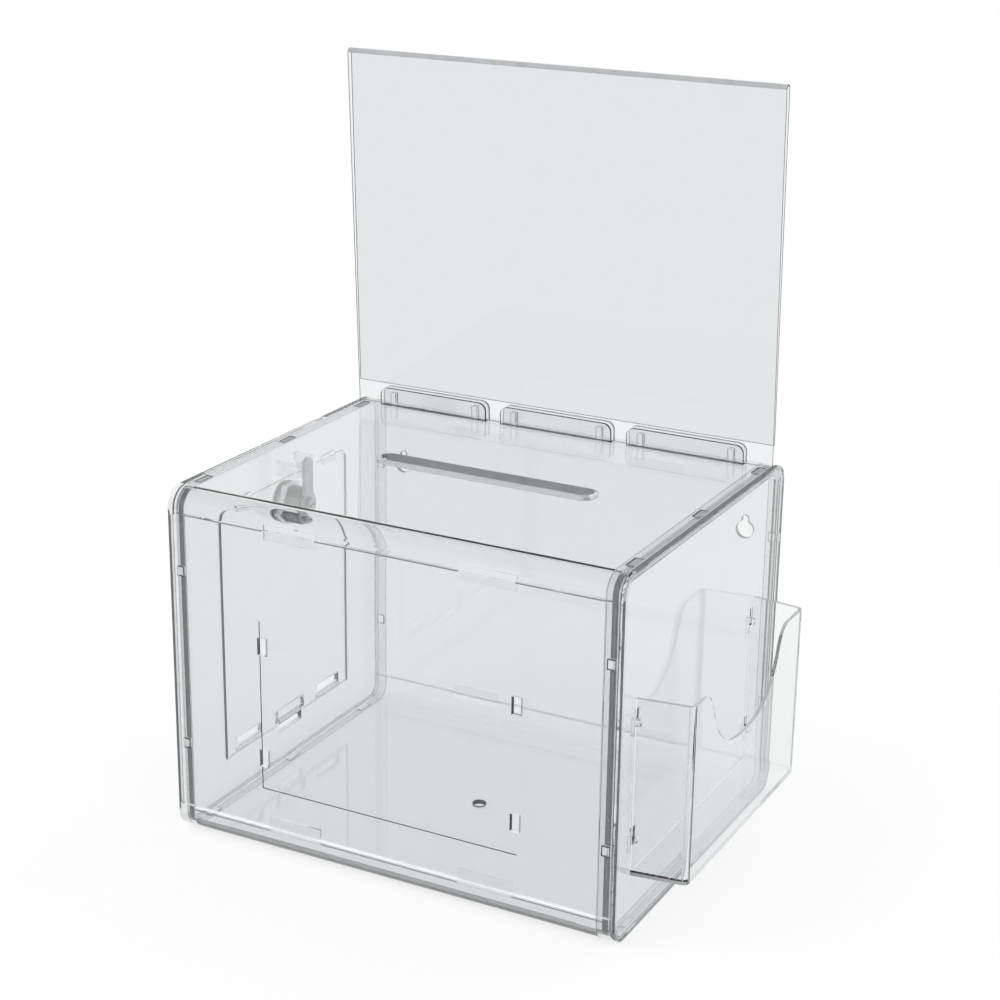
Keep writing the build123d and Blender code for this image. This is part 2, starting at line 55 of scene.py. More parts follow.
# Camera, from the photograph's own perspective
camera = {
    "place": (0.56025, -1.04651, 0.60894),
    "azimuth": 27.70,
    "elevation": 19.10,
    "roll": 0.77,
    "focalShare": 2.1649,  # focal length over the picture's width
    "sensor": 36.0,
    "clip": (0.05, 30),
}


def setCamera():
    data = bpy.data.cameras.new("photoCamera")
    data.sensor_width = camera["sensor"]
    data.lens = camera["focalShare"] * camera["sensor"]
    data.clip_start, data.clip_end = camera["clip"]
    eye = bpy.data.objects.new("photoCamera", data)
    scene.collection.objects.link(eye)
    azimuth = math.radians(camera["azimuth"])
    elevation = math.radians(camera["elevation"])
    forward = Vector((
        -math.sin(azimuth) * math.cos(elevation),
        math.cos(azimuth) * math.cos(elevation),
        -math.sin(elevation),
    ))
    turn = forward.to_track_quat("-Z", "Y").to_matrix().to_4x4()
    roll = Matrix.Rotation(math.radians(camera["roll"]), 4, "Z")
    eye.matrix_world = Matrix.Translation(camera["place"]) @ turn @ roll
    scene.camera = eye
    print("camera set")


# Small helpers for the node trees
def addNode(tree, kind, inputs=None, **settings):
    node = tree.nodes.new("ShaderNode" + kind)
    for name, value in settings.items():
        setattr(node, name, value)
    for name, value in (inputs or {}).items():
        node.inputs[name].default_value = value
    return node


def joinNodes(tree, pairs):
    for source, target in pairs:
        tree.links.new(source, target)


def seenRay(tree):  # 1 for what the camera sees, straight or by way of gloss and glass
    path = addNode(tree, "LightPath")
    first = addNode(tree, "Math", operation="MAXIMUM")
    second = addNode(tree, "Math", operation="MAXIMUM")
    joinNodes(tree, (
        (path.outputs["Is Camera Ray"], first.inputs[0]),
        (path.outputs["Is Glossy Ray"], first.inputs[1]),
        (first.outputs[0], second.inputs[0]),
        (path.outputs["Is Transmission Ray"], second.inputs[1]),
    ))
    return second.outputs[0], path


# Stage: pale floor, white surroundings and soft lamps
stage = {
    "floorRadius": 14.0,
    "floorSides": 96,
    "floorDrop": 0.0004,
    "floorColour": (0.90, 0.90, 0.90, 1),
    "floorGlow": 0.76,  # share of the floor that shows as plain white, the rest takes light and shadow
    "shadowRadius": (0.35, 0.80),  # the floor is plain white past this distance
    "ambient": 0.66,
    "skyDark": 0.55,  # what gloss and glass see overhead
    "skyFade": (0.38, 0.80),  # sines of the elevations between which the white surroundings fade
}
lamps = {
    "keyLamp": {"place": (-1.3, -0.9, 2.2), "aim": (0, 0, 0.1), "size": 1.6, "watts": 34},
    "backLamp": {"place": (0.9, 1.7, 2.0), "aim": (0, 0, 0.1), "size": 1.6, "watts": 28},
    "sideLamp": {"place": (1.9, -1.2, 1.4), "aim": (0, 0, 0.1), "size": 1.2, "watts": 14},
}


def setWorld():
    world = bpy.data.worlds.new("studioWorld")
    scene.world = world
    world.use_nodes = True
    tree = world.node_tree
    tree.nodes.clear()
    output = addNode(tree, "OutputWorld")
    ambient = addNode(tree, "Background", {"Strength": stage["ambient"]})
    white = addNode(tree, "Background", {"Color": (1, 1, 1, 1)})
    mix = addNode(tree, "MixShader")
    where = addNode(tree, "TexCoord")
    split = addNode(tree, "SeparateXYZ")
    start, end = stage["skyFade"]
    fade = addNode(
        tree, "MapRange",
        {"From Min": start, "From Max": end, "To Min": 1, "To Max": stage["skyDark"]},
        interpolation_type="SMOOTHSTEP",
    )
    level = addNode(tree, "Math", operation="MAXIMUM")
    seen, path = seenRay(tree)
    joinNodes(tree, (
        (where.outputs["Generated"], split.inputs[0]),
        (split.outputs["Z"], fade.inputs["Value"]),
        (fade.outputs[0], level.inputs[0]),
        (path.outputs["Is Camera Ray"], level.inputs[1]),
        (level.outputs[0], white.inputs["Strength"]),
        (seen, mix.inputs["Fac"]),
        (ambient.outputs[0], mix.inputs[1]),
        (white.outputs[0], mix.inputs[2]),
        (mix.outputs[0], output.inputs["Surface"]),
    ))
    print("surroundings set")


def setFloor():
    bpy.ops.mesh.primitive_circle_add(
        vertices=stage["floorSides"], radius=stage["floorRadius"], fill_type="NGON")
    floor = bpy.context.object
    floor.name = "paleFloor"
    material, tree, output = newMaterial("paleFloor")
    paintShader = addNode(tree, "BsdfDiffuse", {"Color": stage["floorColour"]})
    glow = addNode(tree, "Emission")
    mix = addNode(tree, "MixShader")
    share = addNode(tree, "Math", operation="MULTIPLY")
    where = addNode(tree, "TexCoord")
    reach = addNode(tree, "VectorMath", operation="LENGTH")
    start, end = stage["shadowRadius"]
    fade = addNode(
        tree, "MapRange",
        {"From Min": start, "From Max": end, "To Min": stage["floorGlow"]},
        interpolation_type="SMOOTHSTEP",
    )
    seen, path = seenRay(tree)
    joinNodes(tree, (
        (where.outputs["Object"], reach.inputs[0]),
        (reach.outputs["Value"], fade.inputs["Value"]),
        (fade.outputs[0], share.inputs[1]),
        (seen, share.inputs[0]),
        (share.outputs[0], mix.inputs["Fac"]),
        (paintShader.outputs[0], mix.inputs[1]),
        (glow.outputs[0], mix.inputs[2]),
        (mix.outputs[0], output.inputs["Surface"]),
    ))
    floor.data.materials.append(material)
    floor.location.z = -stage["floorDrop"]
    print("floor set")


def setLamps():
    for name, lamp in lamps.items():
        data = bpy.data.lights.new(name, "AREA")
        data.energy = lamp["watts"]
        data.size = lamp["size"]
        thing = bpy.data.objects.new(name, data)
        thing.visible_glossy = False
        thing.visible_transmission = False
        scene.collection.objects.link(thing)
        place = Vector(lamp["place"])
        aim = Vector(lamp["aim"]) - place
        turn = aim.to_track_quat("-Z", "Y").to_matrix().to_4x4()
        thing.matrix_world = Matrix.Translation(place) @ turn
    print("lamps set:", len(lamps))


# Finishes: clear plastic on the faces, painted shade in greys on the thin edges that trap light, glowing painted
# highlights on some edges and seams, and the lock's metals
clearLooks = {
    "clear_plastic": {"tint": (0.856, 0.870, 0.874, 1), "ior": 1.49, "roughness": 0.012, "ripple": 0.00006},
    "clear_sheet": {"tint": (0.871, 0.892, 0.894, 1), "ior": 1.22, "roughness": 0.010, "ripple": 0.00004},
    "clearLight": {"tint": (0.925, 0.937, 0.938, 1), "ior": 1.42, "roughness": 0.012, "ripple": 0.00006},
    "jointClear": {"tint": (0.945, 0.95, 0.95, 1), "ior": 1.49, "roughness": 0.012, "ripple": 0.00002},
}
edgeLooks = {  # painted shade, a grey that covers the glass by its share; where it glows, a painted highlight
    "edgeFine": {"colour": (0.34, 0.35, 0.36), "cover": 0.70, "glow": 0.0},
    "edgeMid": {"colour": (0.44, 0.45, 0.46), "cover": 0.85, "glow": 0.0},
    "edgeSoft": {"colour": (0.66, 0.67, 0.68), "cover": 0.70, "glow": 0.0},
    "edgeDark": {"colour": (0.030, 0.032, 0.034), "cover": 0.95, "glow": 0.0},
    "edgeDeep": {"colour": (0.13, 0.135, 0.14), "cover": 0.92, "glow": 0.0},
    "edgeBand": {"colour": (0.32, 0.33, 0.335), "cover": 0.95, "glow": 0.0},
    "edgePale": {"colour": (0.80, 0.81, 0.81), "cover": 0.80, "glow": 0.12},
    "seamPaintedHighlight": {"colour": (0.90, 0.91, 0.91), "cover": 0.80, "glow": 0.28},
    "jointQuiet": {"colour": (0.80, 0.81, 0.81), "cover": 0.0, "glow": 0.0},  # hardly shows at all
}
# the painted-shade greys' glass, roughness, and the grain that varies each grey over a face
edgeGrain = {
    "ior": 1.49,
    "roughness": 0.4,
    "size": 160,
    "shades": (0.8, 1.1),  # the grey's lowest and highest share over a face
    "quietAlpha": 0.02,
}
metalLooks = {
    "lock_metal": {"colour": (0.90, 0.91, 0.92, 1), "worn": (0.94, 0.94, 0.94, 1), "roughness": 0.30},
    # the barrel's darker grey is a painted shade, so that its image through the lower front lip reads dark
    "barrelShadedMetal": {"colour": (0.34, 0.35, 0.36, 1), "worn": (0.46, 0.46, 0.46, 1), "roughness": 0.34},
    "lock_steel": {"colour": (0.54, 0.56, 0.57, 1), "worn": (0.64, 0.64, 0.64, 1), "roughness": 0.36},
    "wafer_brass": {"colour": (0.60, 0.44, 0.19, 1), "worn": (0.72, 0.58, 0.30, 1), "roughness": 0.32},
}
metalGrain = {
    "bump": 0.00002,
    "patch": {"Scale": 260, "Detail": 4},
    "patchRange": {"From Min": 0.42, "From Max": 0.66},
    "grain": {"Scale": 1.0, "Detail": 3},
    "stretch": (5200, 420, 420),
    "roughSpread": 0.25,
}
mouldFlow = {
    "ripple": 22.0,
    "rippleDetail": 1.5,
    "hair": {"Scale": 3.0, "Detail": 3.0},
    "hairStretch": {"Scale": (40, 40, 900), "Rotation": (0.3, 0.5, 0.2)},
    "hairRange": {"From Min": 0.62, "From Max": 0.78, "To Max": 1.6},  # To Max: how much rougher a hairline is
}


def newGroup(name, inputs, outputs):
    group = bpy.data.node_groups.new(name, "ShaderNodeTree")
    for label, kind, value in inputs:
        socket = group.interface.new_socket(name=label, in_out="INPUT", socket_type=kind)
        socket.default_value = value
    for label, kind in outputs:
        group.interface.new_socket(name=label, in_out="OUTPUT", socket_type=kind)
    return group, group.nodes.new("NodeGroupInput"), group.nodes.new("NodeGroupOutput")


def mathNode(tree, operation, first, second):
    node = addNode(tree, "Math", operation=operation)
    tree.links.new(first, node.inputs[0])
    node.inputs[1].default_value = second
    return node.outputs[0]


def mouldFlowGroup():  # slow ripples of a moulded face, and faint hairlines of handling
    group, start, end = newGroup(
        "mouldFlow",
        [("Roughness", "NodeSocketFloat", 0.01), ("Ripple size", "NodeSocketFloat", mouldFlow["ripple"])],
        [("Height", "NodeSocketFloat"), ("Roughness", "NodeSocketFloat")],
    )
    where = addNode(group, "TexCoord")
    ripple = addNode(group, "TexNoise", {"Detail": mouldFlow["rippleDetail"]})
    stretch = addNode(group, "Mapping", mouldFlow["hairStretch"])
    hair = addNode(group, "TexNoise", mouldFlow["hair"])
    lines = addNode(group, "MapRange", mouldFlow["hairRange"])
    rough = addNode(group, "Math", operation="MULTIPLY")
    joinNodes(group, (
        (where.outputs["Object"], ripple.inputs["Vector"]),
        (start.outputs["Ripple size"], ripple.inputs["Scale"]),
        (where.outputs["Object"], stretch.inputs["Vector"]),
        (stretch.outputs[0], hair.inputs["Vector"]),
        (hair.outputs["Fac"], lines.inputs["Value"]),
        (ripple.outputs["Fac"], end.inputs["Height"]),
        (start.outputs["Roughness"], rough.inputs[0]),
        (mathNode(group, "ADD", lines.outputs[0], 1.0), rough.inputs[1]),
        (rough.outputs[0], end.inputs["Roughness"]),
    ))
    return group


def metalGrainGroup():  # turned or rolled grain with rubbed patches
    group, start, end = newGroup(
        "metalGrain",
        [
            ("Colour", "NodeSocketColor", (0.6, 0.6, 0.6, 1)),
            ("Worn", "NodeSocketColor", (0.7, 0.7, 0.7, 1)),
            ("Roughness", "NodeSocketFloat", 0.3),
        ],
        [("Colour", "NodeSocketColor"), ("Roughness", "NodeSocketFloat"), ("Height", "NodeSocketFloat")],
    )
    where = addNode(group, "TexCoord")
    patch = addNode(group, "TexNoise", metalGrain["patch"])
    stretch = addNode(group, "Mapping", {"Scale": metalGrain["stretch"]})
    grain = addNode(group, "TexNoise", metalGrain["grain"])
    mask = addNode(group, "MapRange", metalGrain["patchRange"])
    blend = addNode(group, "Mix", data_type="RGBA")
    rough = addNode(group, "Math", operation="ADD")
    spread = mathNode(group, "MULTIPLY", grain.outputs["Fac"], metalGrain["roughSpread"])
    joinNodes(group, (
        (where.outputs["Object"], patch.inputs["Vector"]),
        (where.outputs["Object"], stretch.inputs["Vector"]),
        (stretch.outputs[0], grain.inputs["Vector"]),
        (patch.outputs["Fac"], mask.inputs["Value"]),
        (mask.outputs[0], blend.inputs["Factor"]),
        (start.outputs["Colour"], blend.inputs["A"]),
        (start.outputs["Worn"], blend.inputs["B"]),
        (blend.outputs["Result"], end.inputs["Colour"]),
        (start.outputs["Roughness"], rough.inputs[0]),
        (spread, rough.inputs[1]),
        (rough.outputs[0], end.inputs["Roughness"]),
        (grain.outputs["Fac"], end.inputs["Height"]),
    ))
    return group


def newMaterial(name):
    material = bpy.data.materials.new(name)
    material.use_nodes = True
    tree = material.node_tree
    tree.nodes.clear()
    return material, tree, addNode(tree, "OutputMaterial")


def clearMaterial(name, look, flow):
    material, tree, output = newMaterial(name)
    glass = addNode(tree, "BsdfPrincipled", {
        "Base Color": look["tint"],
        "Transmission Weight": 1,
        "IOR": look["ior"],
    })
    detail = addNode(tree, "Group", node_tree=flow)
    detail.inputs["Roughness"].default_value = look["roughness"]
    bump = addNode(tree, "Bump", {"Distance": look["ripple"]})
    passing = addNode(tree, "BsdfTransparent", {"Color": look["tint"]})  # lets the lamps' light through
    mix = addNode(tree, "MixShader")
    path = addNode(tree, "LightPath")
    joinNodes(tree, (
        (detail.outputs["Height"], bump.inputs["Height"]),
        (bump.outputs[0], glass.inputs["Normal"]),
        (detail.outputs["Roughness"], glass.inputs["Roughness"]),
        (path.outputs["Is Shadow Ray"], mix.inputs["Fac"]),
        (glass.outputs[0], mix.inputs[1]),
        (passing.outputs[0], mix.inputs[2]),
        (mix.outputs[0], output.inputs["Surface"]),
    ))
    return material


def edgeMaterial(name, look, flow):
    material, tree, output = newMaterial(name)
    edge = addNode(tree, "BsdfPrincipled", {"IOR": edgeGrain["ior"], "Emission Strength": look["glow"]})
    if look["cover"]:
        edge.inputs["Transmission Weight"].default_value = 1 - look["cover"]
    else:
        edge.inputs["Alpha"].default_value = edgeGrain["quietAlpha"]
    detail = addNode(tree, "Group", node_tree=flow)
    detail.inputs["Roughness"].default_value = edgeGrain["roughness"]
    detail.inputs["Ripple size"].default_value = edgeGrain["size"]
    low, high = ([share * part for part in look["colour"]] + [1] for share in edgeGrain["shades"])
    shade = addNode(tree, "Mix", {"A": low, "B": high}, data_type="RGBA")
    joinNodes(tree, (
        (detail.outputs["Height"], shade.inputs["Factor"]),
        (shade.outputs["Result"], edge.inputs["Base Color"]),
        (detail.outputs["Roughness"], edge.inputs["Roughness"]),
        (edge.outputs[0], output.inputs["Surface"]),
    ))
    return material


def metalMaterial(name, look, grain):
    material, tree, output = newMaterial(name)
    metal = addNode(tree, "BsdfPrincipled", {"Metallic": 1})
    detail = addNode(tree, "Group", node_tree=grain)
    detail.inputs["Colour"].default_value = look["colour"]
    detail.inputs["Worn"].default_value = look["worn"]
    detail.inputs["Roughness"].default_value = look["roughness"]
    bump = addNode(tree, "Bump", {"Distance": metalGrain["bump"]})
    joinNodes(tree, (
        (detail.outputs["Colour"], metal.inputs["Base Color"]),
        (detail.outputs["Roughness"], metal.inputs["Roughness"]),
        (detail.outputs["Height"], bump.inputs["Height"]),
        (bump.outputs[0], metal.inputs["Normal"]),
        (metal.outputs[0], output.inputs["Surface"]),
    ))
    return material


def makeMaterials():
    flow = mouldFlowGroup()
    grain = metalGrainGroup()
    made = {name: clearMaterial(name, look, flow) for name, look in clearLooks.items()}
    made.update({name: edgeMaterial(name, look, flow) for name, look in edgeLooks.items()})
    made.update({name: metalMaterial(name, look, grain) for name, look in metalLooks.items()})
    print("materials made:", len(made))
    return made


# Places that the pieces share, in metres
capLow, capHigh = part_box("right_end_cap")
frontLow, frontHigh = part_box("front_panel")
doorLow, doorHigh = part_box("access_door")
pocketLow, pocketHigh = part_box("side_pocket")
headerLow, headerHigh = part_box("header_sheet")
side, front, back, top = (  # rounded: some cuts lie so near a corner that float noise would move it
    round(place, 5) for place in (capHigh.x, capLow.y, capHigh.y, capHigh.z)
)
lowSeam, highSeam = frontLow.z, frontHigh.z
case = {
    "wall": 0.003,
    "rimWall": 0.0015,  # the wall of a shell or a cap where one lies over the other
    "radius": 0.012,
    "sheetEnd": side - 0.0112,  # the shells are at their full thickness up to here
    "skin": 0.0001,  # a face this close to a surface counts as on it
    "seam": 0.0006,  # the same for a seam
}
tongues = {  # they back the seams
    "pitch": 0.124,
    "width": 0.034,
    "reach": 0.0072,
    "depth": 0.0058,
    "trace": 0.00003,  # how far below the wall their faces start
    "upright": 0.7,  # faces whose normals turn less to the front or back are their narrow sides
}
windows = {  # the openings in the caps' rims
    "x": (side - 0.0094, side - 0.0045),
    "z": (0.0572, 0.1649),
    "halfZ": 0.0029,
    "margin": 0.0003,
    "trace": 0.00005,  # left out of the rim's depth at both surfaces
}
clips = {  # the header stands between two leaning plates
    "pitch": 0.086,
    "length": 0.0755,
    "footY": 0.0945,
    "lean": 2.8,  # degrees
    "plate": (0.0021, 0.0037),  # a plate's depths, out from the middle
    "rise": (-0.0002, 0.0122),  # its heights over the lid
    "broad": 0.75,  # faces whose normals turn more to the front or back are its broad sides
    "throat": (0.0017, 0.0003),  # the gap's floor: half its depth, and how near the lid's surface it lies
}
upward = 0.9  # a face with more than this in its normal's Z looks up
lidLow = top - 0.0135
shell = {
    # painted shade: the bands are dark rims, and the lip gets greys and a dark line where it turns under
    "bands": {1: (side - 0.0083, side - 0.0048), -1: (side - 0.0095, side - 0.0063)},  # dark rims, right and left
    "bandSkin": 0.00008,  # how near the inner surface a face of the rims lies
    "bandAcross": 0.5,  # faces that look more along X than this aren't part of the rims
    "outerSkin": 0.0005,
    "underside": -0.995,  # a normal's Z down to here is still on the bend, not on the flat underside
    "lipReach": 0.011,
    "lipShades": (  # painted shade on the lower front lip's inside, between two heights, darker towards the bottom
        ("edgeMid", 0.0133, 0.0141),
        ("edgeSoft", 0.0061, 0.0085),
        ("edgeBand", 0.0041, 0.0061),
    ),
    "lipLine": 0.0016,  # the painted dark line, a shade, where the lip turns under
}
ballotSlot = {"x": (-0.0702, 0.0702), "y": (-0.0060, 0.0090)}
screwHole = {"x": (-0.0047, 0.0047), "y": (-0.0047, 0.0047), "z": (0.0002, 0.0028)}
hookSlots = {"x": (0.0770, 0.0850), "z": ((0.0530, 0.0670), (0.1220, 0.1360)), "allZ": (0.0500, 0.1400)}
keyhole = {"x": (0.1100, 0.1260), "y": (back - 0.0029, back - 0.0001), "z": (0.1580, 0.1800)}

# Ranges and facings that the zones share
toRight, toLeft, toBack, toFront = (1, 0, 0), (-1, 0, 0), (0, 1, 0), (0, -1, 0)
toTop, toBottom = (0, 0, 1), (0, 0, -1)
frontUp, frontDown = (0, -0.7, 0.7), (0, -0.7, -0.7)
anywhere = (-1, 1)
betweenSeams = (lowSeam - 0.00015, highSeam - 0.00015)
frontSkin = (front - 0.0005, front + 0.0010)
backSkin = (back - 0.0010, back + 0.0005)
frontBend = (front - 0.0005, front + 0.0130)
frontSheet = (front - 0.0005, front + 0.0035)
rightLand = (side - 0.0014, side + 0.0005)  # the caps' outermost strip
rightPlate = (side - 0.0033, side + 0.0005)
doorDepth = (-side - 0.0005, -side + 0.0035)
openingHeight = (doorLow.z - 0.00064, doorHigh.z + 0.0016)
doorHeight = (doorLow.z - 0.00064, doorHigh.z + 0.0006)


def mirrored(span):
    return -span[1], -span[0]


# One dictionary for each piece. edge: width of the rounding. cutsX, cutsZ: planes that part faces where their
# material changes. quiet: boxes whose edges hardly show and get no rounding. zones: a painted shade or painted
# highlight, the box and the facing of the faces that carry it. Boxes are ranges in X, Y and Z.
topPanel = {
    "edge": 0.0003,
    "cutsX": [step * clips["pitch"] + end * clips["length"] / 2 for step in (-1, 0, 1) for end in (-1, 1)],
    "zones": [
        # painted shade on the ballot slot's front-facing walls, a glowing painted highlight on its back-facing walls
        ("edgeBand", ballotSlot["x"], ballotSlot["y"], (lidLow, top + 0.0005), toFront),
        ("edgePale", ballotSlot["x"], ballotSlot["y"], (lidLow, top + 0.0005), toBack),
        ("edgeSoft", (side - 0.0083, side - 0.0047), (front + 0.0110, back - 0.0110),  # painted shade under the right rim
         (top - 0.0035, top - 0.0027), toBottom),
    ],
}
bottomPanel = {
    "edge": 0.0003,
    "cutsZ": [shell["lipLine"]] + sorted({height for shade in shell["lipShades"] for height in shade[1:]}),
    # painted shade on the screw hole's walls
    "zones": [
        ("edgeDark", screwHole["x"], screwHole["y"], screwHole["z"], facing)
        for facing in (toFront, toBack, toRight, toLeft)
    ],
}
frontPanel = {
    "edge": 0.0003,
    "cutsZ": [middle + end * windows["halfZ"] for middle in windows["z"] for end in (-1, 1)],
    "quiet": [
        (hookSlots["x"], frontSheet, hookSlots["allZ"]),
        (mirrored(hookSlots["x"]), frontSheet, hookSlots["allZ"]),
    ],
    "zones": [
        # painted shade: grey lines at the rims' ends, dark on the hook slots' faces that look right, grey on those
        # that look left
        ("edgeSoft", (side - 0.0117, side - 0.0110), (front - 0.0005, front + 0.0020), anywhere, None),
        ("edgeSoft", (-side + 0.0110, -side + 0.0117), (front - 0.0005, front + 0.0020), anywhere, None),
        ("edgeDeep", mirrored(hookSlots["x"]), frontSheet, hookSlots["z"][0], toRight),
        ("edgeDeep", mirrored(hookSlots["x"]), frontSheet, hookSlots["z"][1], toRight),
        ("edgeDark", hookSlots["x"], frontSheet, hookSlots["z"][0], toRight),
        ("edgeDark", hookSlots["x"], frontSheet, hookSlots["z"][1], toRight),
        ("edgeSoft", hookSlots["x"], frontSheet, hookSlots["allZ"], toLeft),
        ("edgeSoft", mirrored(hookSlots["x"]), frontSheet, hookSlots["allZ"], toLeft),
        ("edgeDark", (-0.1000, 0.1000), (front + 0.00001, front + 0.0004), (0.0250, 0.1600), None),  # the scribed line, painted dark as its shade
    ],
}
backPanel = {
    "edge": 0.0003,
    "zones": [
        # painted shade on the keyholes' walls and as two dark lines along the right back edge
        ("edgeDeep", keyhole["x"], keyhole["y"], keyhole["z"], None),
        ("edgeDeep", mirrored(keyhole["x"]), keyhole["y"], keyhole["z"], None),
        ("edgeDark", (side - 0.0037, side - 0.0033), (back - 0.0032, back - 0.0014), (0.0100, 0.2000), None),
        ("edgeDark", (side - 0.0059, side - 0.0055), (back - 0.0032, back + 0.0005), (0.0100, 0.2000), None),
    ],
}
leftEndCap = {
    "edge": 0.0003,
    "cutsX": [-side + depth for depth in (0.0013, 0.0026, 0.0033, 0.0045, 0.0058)],
    "quiet": [
        ((-side + 0.0025, -0.1050), (-0.0075, 0.0165), (0.1830, 0.1995)),  # the keeper
        ((-side - 0.0005, -0.1300), (-0.0600, 0.0700), (0.1800, 0.1920)),  # the door's stops
    ],
    "zones": [
        # the front: glowing painted highlights on its bends above and below and on the upright between them, and
        # painted shade on the strip at its outer edge
        ("edgePale", (-side - 0.0005, -side + 0.0057), frontBend, (highSeam - 0.00035, top + 0.0005), frontUp),
        ("edgePale", (-side - 0.0005, -side + 0.0057), frontBend, (-0.0010, lowSeam + 0.00055), frontDown),
        ("edgePale", (-side + 0.0013, -side + 0.0057), (front - 0.0005, front + 0.0008), betweenSeams, toFront),
        ("edgeDeep", mirrored(rightLand), frontSkin, betweenSeams, None),
        # painted shade as lines in the upper bend and in the upright, on the rim's end, and on the inner rib along
        # the floor
        ("edgeDeep", (-side + 0.0033, -side + 0.0045), frontBend, (highSeam - 0.00015, top + 0.0005), frontUp),
        ("edgeMid", (-side + 0.0026, -side + 0.0033), frontSkin, betweenSeams, toFront),
        ("edgeSoft", (-side + 0.0107, -side + 0.0112), frontSkin, (0.0100, top + 0.0005), None),
        ("edgeMid", (-side + 0.0068, -side + 0.0072), (front + 0.0045, back - 0.0045), (0.0028, 0.0047), None),
        # painted shade on the sides of the door's opening
        ("edgeDark", doorDepth, (doorLow.y - 0.0020, doorLow.y + 0.0040), openingHeight, toBack),
        ("edgeFine", doorDepth, (doorHigh.y, doorHigh.y + 0.0010), openingHeight, toFront),
    ],
}
rightEndCap = {
    "edge": 0.0003,
    "cutsX": [side - depth for depth in (0.0058, 0.0045, 0.0038, 0.0031, 0.0013)],
    "quiet": [
        ((side - 0.0059, side - 0.0055), (front - 0.0001, front + 0.0010), (0.0100, top - 0.0095)),
        ((side - 0.0035, side + 0.0005), (-0.1050, 0.1050), (0.0250, 0.1600)),  # the pocket's hook seats
    ],
    "zones": [
        # painted shade on the strips at the outer edge, front and back
        ("edgeDeep", rightLand, frontSkin, betweenSeams, None),
        ("edgeDeep", rightLand, backSkin, betweenSeams, None),
        # painted shade on the inner rib behind: its end, its front face, and a line farther out
        ("edgeDark", (side - 0.0072, side - 0.0068), (back - 0.0050, back - 0.0025), (0.0100, top - 0.0125), None),
        ("edgeDark", (side - 0.0071, side - 0.0059), (back - 0.0050, back - 0.0040), (0.0100, top - 0.0105), toFront),
        ("edgeDeep", (side - 0.0045, side - 0.0038), (back - 0.0050, back - 0.0040), (0.0100, top - 0.0105), toFront),
        # painted shade on the rim's end, the plate's upper edge, the upper bend and the underside
        ("edgeSoft", (side - 0.0112, side - 0.0107), frontSkin, (0.0100, top + 0.0005), None),
        ("edgeDeep", rightPlate, (front + 0.0120, back - 0.0120), (top - 0.0005, top + 0.0005), None),
        ("edgeMid", rightLand, frontBend, (top - 0.0125, top + 0.0005), frontUp),
        ("edgeBand", rightPlate, (front + 0.0020, back - 0.0020), (-0.0010, 0.0006), None),
    ],
}
accessDoor = {
    "edge": 0.0003,
    "quiet": [((-side - 0.0005, -side + 0.0045), (-0.0550, 0.0650), (doorHigh.z - 0.0014, doorHigh.z + 0.0006))],
    "zones": [
        # painted shade on the door's edges that face front and back
        ("edgeDark", doorDepth, (doorLow.y - 0.0005, doorLow.y + 0.0060), doorHeight, toFront),
        ("edgeBand", doorDepth, (doorHigh.y - 0.0005, doorHigh.y + 0.0005), doorHeight, toBack),
    ],
}
headerSheet = {
    "edge": 0.0002,
    "zones": [
        # painted shade on the sheet's side edges and along its top
        ("edgeDark", (headerHigh.x - 0.0007, headerHigh.x + 0.0008), anywhere, anywhere, None),
        ("edgeDark", (headerLow.x - 0.0008, headerLow.x + 0.0007), anywhere, anywhere, None),
        ("edgeMid", anywhere, anywhere, (headerHigh.z - 0.00264, 1), (0, -0.6, 0.8)),
    ],
}
sidePocket = {
    "edge": 0.0003,
    # its rounded edges carry a lighter painted shade
    "edgeLook": "edgeSoft",
    "body": "clearLight",
    "cutsZ": [pocketLow.z + 0.002],
    "zones": [
        # painted shade on the upper edges, the corners' sides and the lower front strip
        ("edgeSoft", anywhere, anywhere, (pocketLow.z + 0.023, 1), toTop),
        ("edgeSoft", anywhere, anywhere, anywhere, (0.5, -0.5, 0)),  # painted shade on the near corner's sides
        ("jointClear", anywhere, anywhere, anywhere, (0.455, -0.455, 0)),  # and its middle, within a narrower angle
        ("edgeSoft", anywhere, anywhere, anywhere, (0.5, 0.5, 0)),
        ("edgeMid", anywhere, anywhere, (0, pocketLow.z + 0.0021), toFront),
    ],
}
finishAndPaintedShade = {
    "top_panel": topPanel,
    "bottom_panel": bottomPanel,
    "front_panel": frontPanel,
    "back_panel": backPanel,
    "left_end_cap": leftEndCap,
    "right_end_cap": rightEndCap,
    "access_door": accessDoor,
    "header_sheet": headerSheet,
    "side_pocket": sidePocket,
    "lock_body": {"edge": 0.0002, "body": "barrelShadedMetal"},
    "lock_plug": {"edge": 0.0001},
    "lock_washer": {"edge": 0.0001},
    "lock_nut": {"edge": 0.0002},
    "lock_stop_disc": {"edge": 0.0001},
    "lock_cam": {"edge": 0.0002},
    "cam_screw": {"edge": 0.0002},
    "lock_wafer_1": {"edge": 0.00005},
    "lock_wafer_2": {"edge": 0.00005},
    "lock_wafer_3": {"edge": 0.00005},
    "lock_wafer_4": {"edge": 0.00005},
}
shells = ("top_panel", "bottom_panel", "front_panel", "back_panel")
layers = list(edgeLooks) + ["jointClear"]
smoothing = {
    "weld": 2e-6,
    "flat": 0.6,  # faces that meet within this angle become one
    "sharp": 35.0,  # an edge over this angle is rounded
    "smooth": 18.0,
    "room": 2.2,  # an edge is rounded where all edges at its ends are this many widths long
    "segments": 2,
    "facing": 0.6,  # how far a face's normal has to agree with its zone's facing
}


def pickOnly(piece):
    bpy.ops.object.select_all(action="DESELECT")
    bpy.context.view_layer.objects.active = piece
    piece.select_set(True)


